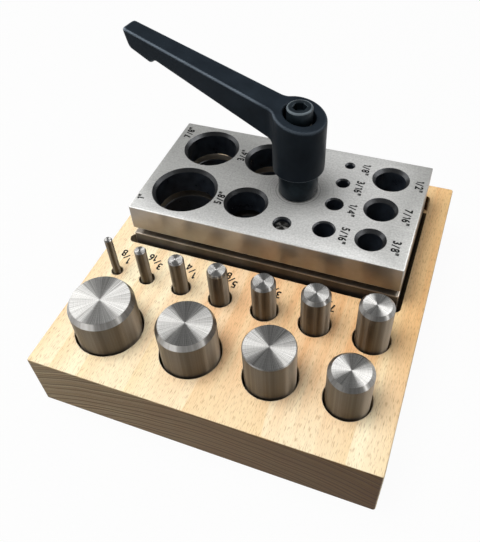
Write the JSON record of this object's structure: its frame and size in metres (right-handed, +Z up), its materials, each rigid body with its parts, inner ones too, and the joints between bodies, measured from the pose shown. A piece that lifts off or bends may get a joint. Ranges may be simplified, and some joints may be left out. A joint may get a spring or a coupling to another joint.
{
  "type": "disc cutter set",
  "caption": "Jeweller's disc cutter: clamped guide and die plates with a black adjustable lever and round steel punches, all seated in a beech stand.",
  "frame": {"origin": "centre of the stand's underside", "axes": "+Z up out of the stand, +Y from the punch rows towards the plates, +X to the right seen from the punch rows"},
  "size_m": [0.1391, 0.1444, 0.1022],
  "materials": {
    "beech": "sanded, unvarnished",
    "ground_steel": "surface ground",
    "die_steel": "milled, lightly oiled",
    "dowel_steel": "ground",
    "turned_steel": "faced on a lathe",
    "spring_steel": "drawn wire",
    "black_oxide_steel": "black oxide",
    "black_lever": "satin black powder coat"
  },
  "bodies": {
    "stand": {"wood_stand": "beech"},
    "die_base": {"lower_die_plate": "die_steel", "front_dowel_pin": "dowel_steel", "rear_dowel_pin": "dowel_steel"},
    "guide": {"upper_guide_plate": "ground_steel", "plate_lift_spring": "spring_steel"},
    "clamp_screw": {"clamp_stud": "black_oxide_steel", "retaining_screw": "black_oxide_steel"},
    "lever": {"lever_arm": "black_lever", "lever_return_spring": "spring_steel"},
    "punch_1_8": {"punch_1_8": "turned_steel"},
    "punch_3_16": {"punch_3_16": "turned_steel"},
    "punch_1_4": {"punch_1_4": "turned_steel"},
    "punch_5_16": {"punch_5_16": "turned_steel"},
    "punch_3_8": {"punch_3_8": "turned_steel"},
    "punch_7_16": {"punch_7_16": "turned_steel"},
    "punch_1_2": {"punch_1_2": "turned_steel"},
    "punch_1": {"punch_1": "turned_steel"},
    "punch_7_8": {"punch_7_8": "turned_steel"},
    "punch_3_4": {"punch_3_4": "turned_steel"},
    "punch_5_8": {"punch_5_8": "turned_steel"}
  },
  "joints": [
    {"name": "lift_punch_1_8", "type": "slide", "parent": "stand", "child": "punch_1_8", "axis": [0, 0, 1], "range_m": [0, 0.03]},
    {"name": "lift_punch_3_16", "type": "slide", "parent": "stand", "child": "punch_3_16", "axis": [0, 0, 1], "range_m": [0, 0.03]},
    {"name": "lift_punch_1_4", "type": "slide", "parent": "stand", "child": "punch_1_4", "axis": [0, 0, 1], "range_m": [0, 0.03]},
    {"name": "lift_punch_5_16", "type": "slide", "parent": "stand", "child": "punch_5_16", "axis": [0, 0, 1], "range_m": [0, 0.03]},
    {"name": "lift_punch_3_8", "type": "slide", "parent": "stand", "child": "punch_3_8", "axis": [0, 0, 1], "range_m": [0, 0.03]},
    {"name": "lift_punch_7_16", "type": "slide", "parent": "stand", "child": "punch_7_16", "axis": [0, 0, 1], "range_m": [0, 0.03]},
    {"name": "lift_punch_1_2", "type": "slide", "parent": "stand", "child": "punch_1_2", "axis": [0, 0, 1], "range_m": [0, 0.03]},
    {"name": "lift_punch_1", "type": "slide", "parent": "stand", "child": "punch_1", "axis": [0, 0, 1], "range_m": [0, 0.03]},
    {"name": "lift_punch_7_8", "type": "slide", "parent": "stand", "child": "punch_7_8", "axis": [0, 0, 1], "range_m": [0, 0.03]},
    {"name": "lift_punch_3_4", "type": "slide", "parent": "stand", "child": "punch_3_4", "axis": [0, 0, 1], "range_m": [0, 0.03]},
    {"name": "lift_punch_5_8", "type": "slide", "parent": "stand", "child": "punch_5_8", "axis": [0, 0, 1], "range_m": [0, 0.03]},
    {"name": "die_lift_out", "type": "slide", "parent": "stand", "child": "die_base", "axis": [0, 0, 1], "range_m": [0, 0.03]},
    {"name": "guide_rise", "type": "slide", "parent": "die_base", "child": "guide", "axis": [0, 0, 1], "range_m": [-0.003, 0.0015], "deforming": ["plate_lift_spring"]},
    {"name": "clamp_turn", "type": "hinge", "parent": "guide", "child": "clamp_screw", "pos_m": [0.0068, 0.02935, 0.0471], "axis": [0, 0, 1], "range_deg": [-720, 360]},
    {"name": "lever_lift", "type": "slide", "parent": "clamp_screw", "child": "lever", "axis": [0, 0, 1], "range_m": [0, 0.0048], "stiffness_N_per_m": 500, "springref_m": -0.004, "deforming": ["lever_return_spring"]}
  ],
  "couplings": [
    {"joint": "guide_rise", "follows": "clamp_turn", "m_per_rad": 0.00023873}
  ]
}
